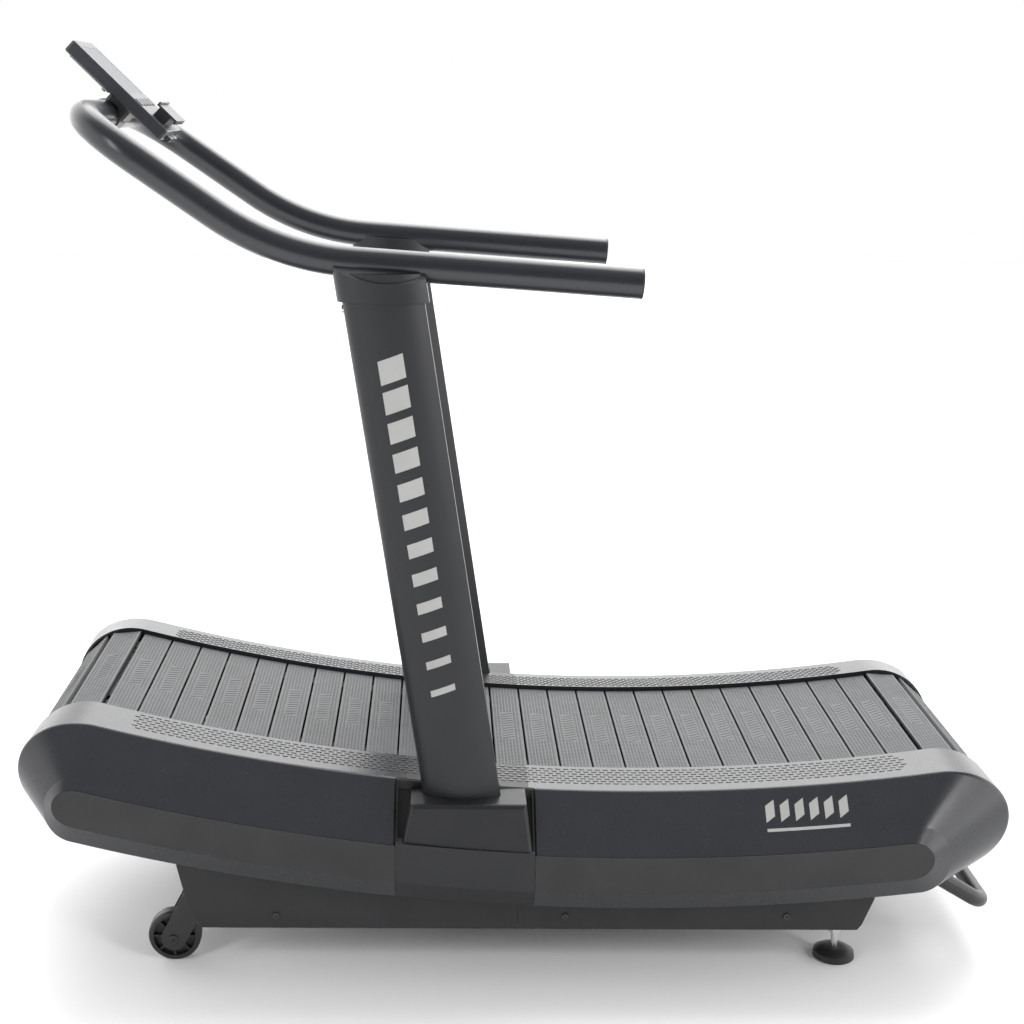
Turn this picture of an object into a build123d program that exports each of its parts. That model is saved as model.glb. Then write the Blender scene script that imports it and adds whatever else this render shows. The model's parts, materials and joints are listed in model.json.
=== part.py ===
from build123d import *
import os
from math import sin, cos, tan, asin, atan2, hypot, radians, degrees, pi

# Curved manual treadmill, all sizes in millimetres.
# X runs along the machine with the console end at -X, Y runs across it, Z is up.
# The origin is on the floor, below the middle of the outer shells.

# overall sizes
length = 1775.0
width = 805.0

# running surface: a shallow arc, lowest towards the rear
deck_radius = 3850.0
deck_low_x = 204.0
deck_low_z = 345.0
belt_width = 432.0
drum_x = 775.0
drum_outer_r = 105.0
return_radius = 4300.0
slat_pitch_wanted = 60.3
slat_gap = 3.6
tread_thick = 6.0
slat_thick = 4.8
drive_belt_thick = 6.0
drive_belt_y = 171.0
drive_belt_w = 36.0

# rolling parts
axle_r = 12.5
running_gap = 0.05
guide_count = 12
guide_span = 660.0
guide_r = 18.0
guide_w = 26.0
guide_shaft_r = 6.0

# inner frame
plate_y = 222.0
plate_t = 5.0
beam_w = 90.0
beam_low = 88.0
beam_h = 60.0
beam_front = -560.0
beam_rear = 600.0
tube_wall = 3.0

# outer shells: distances are measured from the running surface, positive up
shell_in_y = 219.0
crease_y = 311.0
shell_lip = 7.0
shell_depth = 193.0
lip_depth = 217.0
bevel_y = 380.0
inlay_y = 400.0
inlay_top = 87.0
inlay_bottom = 156.0
inlay_front_x = -809.0
inlay_rear_x = 730.0
lip_tip = 112.0
crease_tip = 122.0
lip_wall = 26.0
crease_round = 3.2
edge_chamfer = 3.0
recess = 18.0
inlay_tip = 40.0
shell_wall = 4.0
shell_open_y = 334.0
cover_front = -215.0
cover_rear = 30.0
split_front = -198.0
split_rear = 20.0
split_gap = 0.5

# skirt plates along the base
skirt_y = 327.0
skirt_t = 3.0
skirt_low = 85.0

# uprights
upright_y = 322.0
upright_len = 137.0
upright_wide = 76.0
upright_wall = 4.0
upright_low = 200.0
upright_base_x = -75.7
upright_slope = 0.1587
collar_low = 1216.0

# handlebar
bar_r = 25.4
bar_wall = 3.0
bar_y = 313.0
bar_rear_x = 190.0
bar_rear_z = 1247.5
bar_slope = 3.8
bar_rise = 34.3
cross_x = -740.0
cross_z = 1510.0
bar_bend_r = 450.0
bar_corner_r = 120.0

# console
con_len = 221.0
con_wide = 160.0
con_thick = 23.0
con_corner = 5.0
back_plate_t = 2.0
con_x = -781.5
con_z = 1636.0
con_slope = 44.0

# wheels and feet
wheel_x = -621.0
wheel_y = 279.0
wheel_r = 48.0
wheel_w = 30.0
cheek_gap = 5.0
cheek_t = 4.0
cheek_r = 23.0
foot_x = 597.0
foot_y = 268.0

# rear lift handle
lift_y = 258.0
lift_r = 15.0
lift_x = 872.5
lift_z = 103.0

# values that follow from the sizes above
arc_x = deck_low_x
arc_z = deck_low_z + deck_radius
drum_front_z = arc_z - (((deck_radius + drum_outer_r) ** 2 - (drum_x + arc_x) ** 2) ** 0.5)
drum_rear_z = arc_z - (((deck_radius + drum_outer_r) ** 2 - (drum_x - arc_x) ** 2) ** 0.5)
slat_low = tread_thick + slat_thick
belt_low = tread_thick + slat_thick + 0.2 + drive_belt_thick
pulley_r = drum_outer_r - belt_low
pitch_depth = belt_low - drive_belt_thick / 2
half_width = width / 2
beam_in_y = plate_y + plate_t
beam_out_y = beam_in_y + beam_w


def deck_z(x, depth=0.0):
    """Height of a point that lies depth below the running surface."""
    return arc_z - ((deck_radius + depth) ** 2 - (x - arc_x) ** 2) ** 0.5


def deck_point(x, depth):
    """Point depth below the running surface, measured square to it, at about x."""
    turn = asin((x - arc_x) / (deck_radius + depth))
    return (arc_x + (deck_radius + depth) * sin(turn), arc_z - (deck_radius + depth) * cos(turn))


def box(x0, x1, y0, y1, z0, z1):
    """Box between two opposite corners."""
    mid = Location(((x0 + x1) / 2, (y0 + y1) / 2, (z0 + z1) / 2))
    return mid * Box(abs(x1 - x0), abs(y1 - y0), abs(z1 - z0))


def rod_y(x, z, r, y0, y1):
    """Round rod lying across the machine."""
    return Location((x, (y0 + y1) / 2, z), (90, 0, 0)) * Cylinder(r, abs(y1 - y0))


def rod_z(x, y, r, z0, z1):
    """Round rod standing upright."""
    return Location((x, y, (z0 + z1) / 2)) * Cylinder(r, z1 - z0)


def slab_y(face, y0, y1):
    """Sheet cut to an outline drawn in the XZ plane, between y0 and y1."""
    low = min(y0, y1)
    high = max(y0, y1)
    return Location((0, high, 0)) * extrude(face, amount=high - low)


def flat(edges):
    """Face in the XZ plane from edges drawn as (x, z)."""
    return Plane.XZ * make_face(edges)


def arc_pt(radius, turn):
    """Point on a circle about the centre of the running arc."""
    return (arc_x + radius * sin(turn), arc_z - radius * cos(turn))


def end_curves(mid, out, up, reach, half):
    """Two quarter ovals round the end of an outline, from its top to its bottom."""
    k = 0.5523
    top = mid + up * half
    tip = mid + out * reach
    low = mid - up * half
    upper = Bezier(top, top + out * (reach * k), tip + up * (half * k), tip)
    lower = Bezier(tip, tip - up * (half * k), low + out * (reach * k), low)
    return (upper, lower)


def pod_edges(top, low, front, rear, tip):
    """Long curved outline with oval ends, between two depths and two end positions."""
    mid = (top + low) / 2
    half = (low - top) / 2
    r_mid = deck_radius + mid
    t0 = asin((front + tip - arc_x) / r_mid)
    t1 = asin((rear - tip - arc_x) / r_mid)
    tm = (t0 + t1) / 2
    r_top = deck_radius + top
    r_low = deck_radius + low
    over = ThreePointArc(arc_pt(r_top, t0), arc_pt(r_top, tm), arc_pt(r_top, t1))
    under = ThreePointArc(arc_pt(r_low, t1), arc_pt(r_low, tm), arc_pt(r_low, t0))
    back_mid = Vector(*arc_pt(r_mid, t1))
    nose_mid = Vector(*arc_pt(r_mid, t0))
    back = end_curves(back_mid, Vector(cos(t1), sin(t1)), Vector(-sin(t1), cos(t1)), tip, half)
    nose = end_curves(nose_mid, Vector(-cos(t0), -sin(t0)), Vector(sin(t0), -cos(t0)), tip, half)
    return [over, back[0], back[1], under, nose[0], nose[1]]


def pod_face(y, top, low, front, rear, tip):
    """The outline above as a face standing at y."""
    face = make_face(pod_edges(top, low, front, rear, tip))
    return Plane(origin=(0, y, 0), x_dir=(1, 0, 0), z_dir=(0, -1, 0)) * face


def blend_rows(a, b, share):
    """Values part of the way from one row to another."""
    return [p + (q - p) * share for p, q in zip(a, b)]


def shell_sections():
    """Sections of a shell: y, top and bottom depth, both end positions and the end's reach."""
    half = length / 2
    lip = (shell_in_y, -shell_lip, lip_depth, -half, half, lip_tip)
    crease = (crease_y, 0.0, shell_depth, -half, half, crease_tip)
    inlay = (inlay_y, inlay_top, inlay_bottom, inlay_front_x, inlay_rear_x, inlay_tip)
    bevel = blend_rows(crease, inlay, (bevel_y - crease_y) / (inlay_y - crease_y))
    bevel[2] = shell_depth
    before = blend_rows(crease, lip, crease_round / (crease_y - shell_in_y))
    after = blend_rows(crease, inlay, crease_round / (inlay_y - crease_y))
    after[2] = shell_depth
    soft = []
    for i in range(4):
        near = blend_rows(before, crease, i / 3)
        far = blend_rows(crease, after, i / 3)
        soft.append(blend_rows(near, far, i / 3))
    return [lip, *soft, bevel, inlay]


def pod_solid(side, inset=0.0):
    """Solid bounded by the outside of a shell, drawn in by inset."""
    faces = []
    for y, top, low, front, rear, tip in shell_sections():
        if y == shell_in_y or y == inlay_y:
            y = y - inset
        faces.append(pod_face(side * y, top + inset, low - inset, front + inset, rear - inset, tip))
    return loft(faces, ruled=True)


def shell_skin(side):
    """Whole hollow shell of one side before it is split, open towards the belt and below."""
    skin = pod_solid(side) - pod_solid(side, shell_wall)
    inner = box(-length, length, side * (shell_in_y - 20), side * (shell_in_y + 1), deck_low_z - 240, 900)
    low = box(-640, 800, side * (shell_in_y - 20), side * shell_open_y, 60, deck_low_z - 60)
    high = ((-60, deck_low_z - 60), (-640, deck_z(-640, 60)))
    rise = flat([Polyline((-640, 60), (-60, 60), *high, (-640, 60))])
    wedge = slab_y(rise, side * (shell_in_y - 20), side * shell_open_y)
    half = length / 2
    wall = pod_face(side * (plate_y - 0.6), -shell_lip - 1, lip_wall, -half, half, 10)
    wall = extrude(wall, amount=side * (plate_y - 0.6 - shell_in_y)) & pod_solid(side)
    return skin - (inner + low + wedge) + wall


def end_shell(side, skin, front):
    """Front or rear part of the shell, up to its split line at the centre cover."""
    if front:
        part = skin & box(-length, cover_front, side * 200, side * half_width, 0, 700)
        x0 = cover_front
        x1 = split_front - split_gap
    else:
        part = skin & box(cover_rear, length, side * 200, side * half_width, 0, 700)
        x0 = split_rear + split_gap
        x1 = cover_rear
    ear = skin & box(x0, x1, side * 200, side * (crease_y - crease_round), deck_low_z - 60, 700)
    edge_x = cover_front if front else cover_rear
    return part + ear - edge_cutter(side, edge_x, -1 if front else 1)


def edge_cutter(side, x, inward):
    """Long wedge that bevels the end edge of a shell's shoulder at x."""
    top = Vector(x, side * crease_y, deck_z(x, 0))
    low = Vector(x, side * inlay_y, deck_z(x, inlay_top))
    down = (low - top).normalized()
    normal = Vector(0, side * abs(down.Z), abs(down.Y))
    a = top + normal * 2 - Vector(inward * 2, 0, 0)
    b = top - normal * (edge_chamfer + 2) - Vector(inward * 2, 0, 0)
    c = top + normal * 2 + Vector(inward * (edge_chamfer + 2), 0, 0)
    wedge = make_face(Polyline(a, b, c, a))
    return extrude(wedge, amount=(low - top).length + 2, dir=down)


def upright_outline(grow_x=0.0, grow_y=0.0):
    """Level section of an upright: flat rear face, bulging sides and a round nose."""
    half = upright_len / 2 + grow_x
    wide = upright_wide / 2 + grow_y
    back = 20.0 + grow_y
    neck = 27.0 + grow_y
    nose_x = 18.0 + grow_x / 2 - half
    side_a = ThreePointArc((half, back), (10, wide), (nose_x, neck))
    nose = ThreePointArc((nose_x, neck), (-half, 0), (nose_x, -neck))
    side_b = ThreePointArc((nose_x, -neck), (10, -wide), (half, -back))
    rear = Line((half, -back), (half, back))
    return make_face([side_a, nose, side_b, rear])


def upright_x(z):
    """Middle of the upright at height z."""
    return upright_base_x - upright_slope * (z - upright_low)


def upright_solid(side, z0, z1, grow_x=0.0, grow_y=None):
    """Leaning bar with the upright's section, cut level at both ends."""
    if grow_y is None:
        grow_y = grow_x
    face = Location((upright_x(z0), side * upright_y, z0)) * upright_outline(grow_x, grow_y)
    lean = Vector(-upright_slope, 0, 1)
    return extrude(face, amount=(z1 - z0) * lean.length, dir=lean.normalized())


def bar_z(x):
    """Height of the handlebar's centre line on its rear straight."""
    return bar_rear_z + (bar_rear_x - x) * tan(radians(bar_slope))


def hood_block(side, grow, drop):
    """Tapered block of the ledge round the upright; grow and drop shape its hollow."""
    low_z = deck_low_z - inlay_top + 4.0
    in_y = crease_y - 3.0
    rows = (
        (cover_front + 8.0, cover_rear - 4.0, inlay_y, low_z - drop),
        (cover_front + 27.0, cover_rear - 16.0, inlay_y - 14.0, deck_low_z + 4.0 - drop),
    )
    faces = []
    for x0, x1, out_y, z in rows:
        x0 = x0 - grow
        x1 = x1 + grow
        out_y = out_y + grow
        place = Location(((x0 + x1) / 2, side * (in_y + out_y) / 2, z))
        faces.append(place * Rectangle(x1 - x0, out_y - in_y))
    return loft(faces, ruled=True)


def make_centre_cover(side, skin):
    """Cover round the foot of the upright: a recess between the shells with a proud ledge in it."""
    edge_y = crease_y - crease_round
    band = skin & box(split_front, split_rear, side * 200, side * (edge_y + 1), deck_low_z - 60, 700)
    x0 = cover_front + split_gap
    x1 = cover_rear - split_gap
    y0 = edge_y + 0.3
    span = box(x0, x1, side * y0, side * half_width, 0, 700)
    high = inlay_top - 4
    below = pod_face(side * y0, high, 300, -length, length, 10)
    below = extrude(below, amount=-side * (half_width - y0))
    sunk = (pod_solid(side, recess) - pod_solid(side, recess + shell_wall)) & span
    flush = (pod_solid(side, 0.3) - pod_solid(side, 0.3 + shell_wall)) & span & below
    flush = flush - box(x0, x1, side * 200, side * shell_open_y, 60, deck_low_z - 60)
    rim = pod_solid(side, 1.0) - pod_solid(side, recess + shell_wall)
    back = rim & box(x0, x1, side * y0, side * (y0 + 3), 0, 700)
    ends = [box(x, x + 3, side * y0, side * 400, 0, 700) for x in (x0, x1 - 3)]
    cheeks = rim & (ends[0] + ends[1])
    pocket = (sunk + back + cheeks) - below
    hood = hood_block(side, 0, 0)
    outer = hood.edges().filter_by(lambda e: e.center().Y * side > inlay_y - 30)
    hood = fillet(outer.filter_by(lambda e: e.center().Z > deck_low_z - 70), 9.0)
    panel_y = inlay_y - 26
    strip = pod_face(side * panel_y, high, inlay_bottom, -length / 2, length / 2, inlay_tip)
    strip = extrude(strip, amount=-side * (half_width - panel_y))
    panel = strip & box(x0, x1, side * panel_y, side * half_width, 0, 700)
    cover = band + (pocket - hood_block(side, -2, 2)) + (hood - hood_block(side, -4, 4)) + flush + panel
    return cover - upright_solid(side, upright_low, 700, 0.8)


def make_inlay(side, front):
    """Flat matt panel let into the side of a shell."""
    gap = 1.0
    x0 = inlay_front_x + gap
    x1 = inlay_rear_x - gap
    panel = pod_face(side * inlay_y, inlay_top + gap, inlay_bottom - gap, x0, x1, inlay_tip)
    panel = extrude(panel, amount=-side * (half_width - inlay_y))
    if front:
        return panel & box(-length, cover_front - 1, side * 390, side * 420, 0, 700)
    return panel & box(cover_rear + 1, length, side * 390, side * 420, 0, 700)


def band_face(y, x0, x1, high):
    """Thin curved face lying on the foot rail at y, high thick."""
    depth = -shell_lip * (crease_y - abs(y)) / (crease_y - shell_in_y) - 0.05
    t0 = asin((x0 - arc_x) / deck_radius)
    t1 = asin((x1 - arc_x) / deck_radius)
    tm = (t0 + t1) / 2
    r_low = deck_radius + depth
    r_top = deck_radius + depth - high
    under = ThreePointArc(arc_pt(r_low, t0), arc_pt(r_low, tm), arc_pt(r_low, t1))
    end = Line(arc_pt(r_low, t1), arc_pt(r_top, t1))
    over = ThreePointArc(arc_pt(r_top, t1), arc_pt(r_top, tm), arc_pt(r_top, t0))
    start = Line(arc_pt(r_top, t0), arc_pt(r_low, t0))
    face = make_face([under, end, over, start])
    return Plane(origin=(0, y, 0), x_dir=(1, 0, 0), z_dir=(0, -1, 0)) * face


def make_grip(side, front):
    """Anti-slip strip on the foot rail."""
    if front:
        x0 = -690.0
        x1 = split_front - 4
    else:
        x0 = split_rear + 4
        x1 = 705.0
    y0 = shell_in_y + 4.0
    y1 = y0 + 62.0
    faces = [band_face(side * y, x0 - 10, x1 + 10, 0.8) for y in (y0 - 2, y1 + 2)]
    layer = loft(faces, ruled=True)
    plan = Location(((x0 + x1) / 2, side * (y0 + y1) / 2, 300)) * RectangleRounded(x1 - x0, y1 - y0, 16)
    return layer & extrude(plan, amount=300)


def deck_sheet():
    """Outline of a side plate: a band along the deck, round ends, three legs and a rear ear."""
    band = Plane.XZ * make_face(pod_edges(27, 150, -drum_x - 40, drum_x + 40, 60))
    foot = beam_low + 4.0
    for x in (-470, -75, 480):
        top = deck_z(x, 60)
        leg = Polyline((x - 45, foot), (x + 45, foot), (x + 45, top), (x - 45, top), (x - 45, foot))
        band = band + flat([leg])
    ear = Polyline((700, 300), (700, 185), (735, 162), (790, 162), (800, 200), (800, 300), (700, 300))
    band = band + flat([ear])
    for name, x, z in drum_axes():
        band = band + Plane.XZ * (Location((x, z)) * Circle(58))
    return band


def guide_axes():
    """Centres of the guide roller shafts along the arc."""
    rows = []
    for i in range(guide_count):
        x = -guide_span + 2 * guide_span * i / (guide_count - 1)
        rows.append(deck_point(x, belt_low + 0.3 + guide_r))
    return rows


def make_deck_frame(cavities):
    """Inner frame: two curved side plates, cross tubes and brackets that carry the shells."""
    sheet = deck_sheet()
    pieces = []
    for side in (-1, 1):
        plate = slab_y(sheet, side * plate_y, side * beam_in_y)
        for x, z in guide_axes():
            bore_r = guide_shaft_r + running_gap
            plate = plate - rod_y(x, z, bore_r, side * (plate_y - 1), side * (beam_in_y + 1))
        for name, x, z in drum_axes():
            plate = plate - rod_y(x, z, axle_r + 4, side * (plate_y - 1), side * (beam_in_y + 1))
        pieces.append(plate)
        for x in (-600, -360, 360, 600):
            arm = box(x - 20, x + 20, side * beam_in_y, side * 300, deck_z(x, 70), deck_z(x, 70) + 120)
            arm = arm & cavities[side]
            pieces.append(arm - box(x - 17, x + 17, side * (beam_in_y + 3), side * 301, 0, deck_z(x, 10)))
    for x in (-480, -120, 240, 560):
        px, pz = deck_point(x, 84)
        tube = box(px - 22, px + 22, -plate_y, plate_y, pz - 20, pz + 20)
        pieces.append(tube - box(px - 19, px + 19, -plate_y + 1, plate_y - 1, pz - 17, pz + 17))
    return Compound(children=pieces)


def make_beam(side):
    """One long box beam with the pedestal of its upright, a foot boss and screw bosses."""
    top = beam_low + beam_h
    wall = tube_wall
    beam = box(beam_front, beam_rear + 30, side * beam_in_y, side * beam_out_y, beam_low, top)
    y0 = side * (beam_in_y + wall)
    y1 = side * (beam_out_y - wall)
    beam = beam - box(beam_front + wall, beam_rear + 30 - wall, y0, y1, beam_low + wall, top - wall)
    x0 = upright_base_x - 76
    x1 = upright_base_x + 76
    ped_top = upright_low - 10
    ped = box(x0, x1, side * beam_in_y, side * beam_out_y, top, ped_top)
    beam = beam + (ped - box(x0 + wall, x1 - wall, y0, y1, top, ped_top - 6))
    for x, z in skirt_screws():
        beam = beam + rod_y(x, z, 9, side * beam_out_y, side * skirt_y)
        beam = beam - rod_y(x, z, 3.0, side * (beam_out_y - 5), side * (skirt_y + 1))
    hexagon = extrude(RegularPolygon(15, 6), amount=6.5, both=True)
    beam = beam + Location((foot_x, side * foot_y, beam_low - 6.5)) * hexagon
    beam = beam - rod_z(foot_x, side * foot_y, 6 + running_gap, beam_low - 20, beam_low + 10)
    for x, y in foot_bolts(side):
        beam = beam - rod_z(x, y, 5.0, ped_top - 10, ped_top + 1)
    return beam


def make_base_frame():
    """Base of two long box beams joined by three cross tubes."""
    pieces = [make_beam(side) for side in (-1, 1)]
    wall = tube_wall
    for x in (-350, 50, 400):
        tube = box(x - 30, x + 30, -beam_in_y, beam_in_y, beam_low, beam_low + 40)
        z0 = beam_low + wall
        z1 = beam_low + 40 - wall
        hollow = box(x - 30 + wall, x + 30 - wall, 1 - beam_in_y, beam_in_y - 1, z0, z1)
        pieces.append(tube - hollow)
    return Compound(children=pieces)


def skirt_screws():
    """Screw positions along a skirt."""
    return ((-431, skirt_low + 25), (91, skirt_low + 25), (492, skirt_low + 27))


def foot_bolts(side):
    """Bolts that hold the foot of an upright to its pedestal."""
    return [(upright_base_x + dx, side * (beam_in_y + dy)) for dx in (-62, 62) for dy in (16, 38)]


def make_skirt(side, front):
    """Thin side plate along the base, with slanted ends."""
    arc_low = 180.0
    a = (-618, deck_z(-618, arc_low))
    m = (20, deck_z(20, arc_low))
    b = (655, deck_z(655, arc_low))
    top = ThreePointArc(a, m, b)
    end = ((649, skirt_low + 61), (629, skirt_low + 10), (621, skirt_low))
    nose = ((-567, skirt_low), (-596, skirt_low + 71))
    rest = Polyline(b, *end, *nose, a)
    plate = slab_y(flat([top, rest]), side * skirt_y, side * (skirt_y + skirt_t))
    for x, z in skirt_screws():
        plate = plate - rod_y(x, z, 3.4, side * (skirt_y - 1), side * (skirt_y + skirt_t + 1))
    if front:
        return plate & box(-700, 5 - 0.3, side * 320, side * 340, 0, 400)
    return plate & box(5 + 0.3, 700, side * 320, side * 340, 0, 400)


def make_skirt_screws(side):
    """Three button-head screws through a skirt."""
    group = []
    for x, z in skirt_screws():
        y0 = side * (skirt_y + skirt_t)
        head = rod_y(x, z, 6, y0, y0 + side * 3)
        head = head - rod_y(x, z, 2, y0 + side * 1.5, y0 + side * 4)
        shank = rod_y(x, z, 3.0 - running_gap, y0, side * (beam_out_y - 2))
        group.append(head + shank)
    return Compound(children=group)


def make_upright(side):
    """Hollow leaning upright with its foot plate."""
    top = bar_z(upright_x(collar_low + 46)) - 13
    outer = upright_solid(side, upright_low, top)
    inner = upright_solid(side, upright_low, top + 1, -upright_wall)
    post = outer - inner
    x0 = upright_base_x - 76
    x1 = upright_base_x + 76
    plate = box(x0, x1, side * (beam_in_y + 4), side * (upright_y + 44), upright_low - 10, upright_low)
    for x, y in foot_bolts(side):
        plate = plate - rod_z(x, y, 5.5, upright_low - 20, upright_low + 5)
    post = post + plate
    tube = bar_tube_rear(side, bar_r + 0.02)
    return post - tube


def make_foot_bolt(side):
    """Hexagon bolts at the foot of one upright and the button screw below its collar."""
    group = []
    for x, y in foot_bolts(side):
        head = Location((x, y, upright_low)) * extrude(RegularPolygon(9, 6), amount=6)
        group.append(head + rod_z(x, y, 5.0 - running_gap, upright_low - 22, upright_low))
    z = collar_low - 13.0
    x = upright_x(z) - upright_len / 2
    button = Location((x, side * upright_y, z), (0, -90, 0)) * Cylinder(6.5, 5)
    group.append(button - upright_solid(side, z - 20, z + 20))
    return Compound(children=group)


def bar_tube_rear(side, r):
    """Straight rear leg of the handlebar as a solid rod."""
    x0 = bar_rear_x + 40
    x1 = -420.0
    mid_x = (x0 + x1) / 2
    run = (x0 - x1) / cos(radians(bar_slope))
    rod = Location((mid_x, side * bar_y, bar_z(mid_x)), (0, 90 + bar_slope, 0)) * Cylinder(r, run)
    return rod


def make_collar(side):
    """Saddle collar that caps the upright and carries the handlebar."""
    top_x = upright_x(collar_low + 46)
    body = upright_solid(side, collar_low, collar_low + 110, 8.0, 4.0)
    level = Location((top_x, side * upright_y, bar_z(top_x) - 3), (0, bar_slope, 0))
    body = body - level * Location((0, 0, 100)) * Box(400, 200, 200)
    outer = Location((top_x, side * (bar_y + 24), bar_z(top_x) - 7), (-side * 38, bar_slope, 0))
    body = body - outer * Location((0, 0, 50)) * Box(400, 160, 100)
    body = body - upright_solid(side, collar_low - 5, bar_z(top_x) - 13, 0.02)
    return body - bar_tube_rear(side, bar_r)


def bent_path(points, radii):
    """Polyline in space with each inner corner rounded to its own radius."""
    edges = []
    last = Vector(*points[0])
    for i in range(1, len(points) - 1):
        p = Vector(*points[i])
        u = (Vector(*points[i - 1]) - p).normalized()
        v = (Vector(*points[i + 1]) - p).normalized()
        half = radians(u.get_angle(v)) / 2
        r = radii[i - 1]
        reach = r / tan(half)
        a = p + u * reach
        b = p + v * reach
        mid_dir = (u + v).normalized()
        m = p + mid_dir * (r / sin(half) - r)
        edges.append(Line(last, a))
        edges.append(ThreePointArc(a, m, b))
        last = b
    edges.append(Line(last, Vector(*points[-1])))
    return Wire(edges)


def bar_corner():
    """Where the rear straight and the rising straight of the handlebar meet."""
    k0 = tan(radians(bar_slope))
    k1 = tan(radians(bar_rise))
    x = (cross_z + cross_x * k1 - bar_rear_z - bar_rear_x * k0) / (k1 - k0)
    return (x, bar_z(x))


def make_handlebar():
    """One bent tube from the rear end of one leg over the cross bar to the other."""
    x, z = bar_corner()
    pts = [(bar_rear_x, -bar_y, bar_rear_z), (x, -bar_y, z), (cross_x, -bar_y, cross_z)]
    pts = pts + [(cross_x, bar_y, cross_z), (x, bar_y, z), (bar_rear_x, bar_y, bar_rear_z)]
    radii = [bar_bend_r, bar_corner_r, bar_corner_r, bar_bend_r]
    path = bent_path(pts, radii)
    start = Plane(origin=path @ 0, z_dir=path % 0)
    outer = sweep(start * Circle(bar_r), path=path)
    inner = sweep(start * Circle(bar_r - bar_wall), path=path)
    return outer - inner


def make_end_cap(side):
    """Plug with a flat flange in the rear end of the handlebar."""
    spot = Location((bar_rear_x, side * bar_y, bar_rear_z), (0, 90 + bar_slope, 0))
    flange = spot * Location((0, 0, 1.5)) * Cylinder(bar_r, 3)
    plug = spot * Location((0, 0, -10)) * Cylinder(bar_r - bar_wall - 0.02, 20)
    return flange + plug


def drum_axes():
    """Name and centre of the two drums."""
    return (("front", -drum_x, drum_front_z), ("rear", drum_x, drum_rear_z))


def make_axle(x, z):
    """Stepped drum axle."""
    core = rod_y(x, z, axle_r, -258, 258)
    thick = rod_y(x, z, axle_r + 3.5, -218, 218)
    return core + thick


def make_pulley(x, z, side):
    """Flanged pulley with five openings in its web."""
    y0 = side * (drive_belt_y - drive_belt_w / 2 - 1)
    y1 = side * (drive_belt_y + drive_belt_w / 2 + 1)
    rim = rod_y(x, z, pulley_r - 0.02, y0, y1) - rod_y(x, z, pulley_r - 12, y0, y1)
    web = rod_y(x, z, pulley_r - 11, side * (drive_belt_y - 6), side * (drive_belt_y + 6))
    hub = rod_y(x, z, 28, y0, y1)
    body = rim + web + hub
    for flange_y in (y0, y1):
        out = flange_y - side * 3 if flange_y == y0 else flange_y + side * 3
        body = body + (rod_y(x, z, pulley_r + 3, flange_y, out) - rod_y(x, z, pulley_r - 12, flange_y, out))
    for i in range(5):
        turn = 2 * pi * i / 5
        hx = x + 51 * cos(turn)
        hz = z + 51 * sin(turn)
        body = body - rod_y(hx, hz, 14, side * 150, side * 200)
    return body - rod_y(x, z, axle_r + 3.5, y0 - side * 5, y1 + side * 5)


def make_bearing(x, z, side):
    """Flange bearing housing on the outside of a side plate."""
    y0 = side * beam_in_y
    block = rod_y(x, z, 40, y0, y0 + side * 10) + rod_y(x, z, 28, y0 + side * 10, y0 + side * 24)
    for i in range(4):
        turn = pi / 4 + pi * i / 2
        hx = x + 33 * cos(turn)
        hz = z + 33 * sin(turn)
        block = block + rod_y(hx, hz, 5, y0 + side * 10, y0 + side * 14)
    return block - rod_y(x, z, axle_r + running_gap, y0 - side, y0 + side * 30)


def make_guide(x, z):
    """Guide shaft with a roller under each drive belt."""
    shaft = rod_y(x, z, guide_shaft_r, -234, 234)
    for side in (-1, 1):
        y0 = side * (drive_belt_y - guide_w / 2)
        y1 = side * (drive_belt_y + guide_w / 2)
        roller = rod_y(x, z, guide_r, y0, y1)
        roller = fillet(roller.edges().filter_by(GeomType.CIRCLE), 1.5)
        shaft = shaft + roller + rod_y(x, z, 9, side * 231, side * 233)
    return shaft


def return_arc():
    """Centre of the arc along which the belt hangs on its way back."""
    mx = 0.0
    mz = (drum_front_z + drum_rear_z) / 2
    dx = 2 * drum_x
    dz = drum_rear_z - drum_front_z
    span = hypot(dx, dz)
    up = ((return_radius - drum_outer_r) ** 2 - (span / 2) ** 2) ** 0.5
    return (mx - dz / span * up, mz + dx / span * up)


def loop_parts(depth):
    """Four arcs of the belt loop at a depth below its outer face: centre, radius, start, sweep, sign."""
    bx, bz = return_arc()
    a_f = atan2(drum_front_z - arc_z, -drum_x - arc_x)
    a_r = atan2(drum_rear_z - arc_z, drum_x - arc_x)
    b_r = atan2(drum_rear_z - bz, drum_x - bx)
    b_f = atan2(drum_front_z - bz, -drum_x - bx)
    top = (arc_x, arc_z, deck_radius + depth, a_f, a_r - a_f, -1)
    rear = (drum_x, drum_rear_z, drum_outer_r - depth, a_r + pi, b_r - a_r - pi, 1)
    low = (bx, bz, return_radius - depth, b_r, b_f - b_r, 1)
    front = (-drum_x, drum_front_z, drum_outer_r - depth, b_f, a_f - pi - b_f, 1)
    return [top, rear, low, front]


def loop_face(depth):
    """Closed outline of the belt loop at a depth below its outer face."""
    edges = []
    for cx, cz, r, start, turn, sign in loop_parts(depth):
        pts = [(cx + r * cos(start + turn * k), cz + r * sin(start + turn * k)) for k in (0, 0.5, 1)]
        edges.append(ThreePointArc(pts[0], pts[1], pts[2]))
    return flat(edges)


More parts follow.
